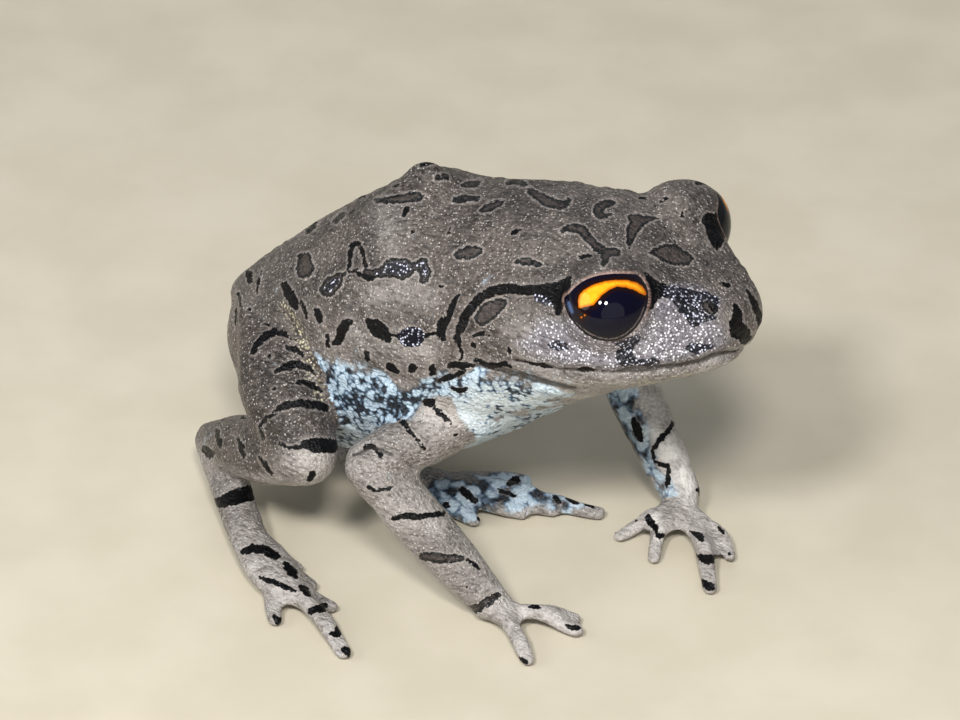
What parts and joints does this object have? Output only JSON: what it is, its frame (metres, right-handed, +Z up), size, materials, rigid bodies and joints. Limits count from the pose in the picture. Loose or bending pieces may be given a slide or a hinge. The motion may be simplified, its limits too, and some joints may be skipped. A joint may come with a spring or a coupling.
{
  "type": "leptobrachium rakhinense",
  "caption": "A life-size Rakhine litter frog sitting upright on its hands, hind legs folded, one hind foot tucked under the belly.",
  "frame": {"origin": "centre of the frog's outline on the floor, where its hands and feet rest", "axes": "+X towards the snout, +Y the frog's left, +Z up"},
  "size_m": [0.0412, 0.0324, 0.0281],
  "materials": {
    "trunk_skin": "satin",
    "head_skin": "satin",
    "arm_skin": "satin",
    "leg_skin": "satin",
    "eye": "gloss"
  },
  "bodies": {
    "root": {"torso": "trunk_skin", "head": "head_skin", "right_eye": "eye", "right_upper_arm": "arm_skin", "right_forearm": "arm_skin", "right_hand": "arm_skin", "right_thigh": "leg_skin", "right_shank": "leg_skin", "right_tarsus": "leg_skin", "right_foot": "leg_skin", "left_eye": "eye", "left_upper_arm": "arm_skin", "left_forearm": "arm_skin", "left_hand": "arm_skin", "left_thigh": "leg_skin", "left_shank": "leg_skin", "left_tarsus": "leg_skin", "left_foot": "leg_skin"}
  },
  "joints": []
}
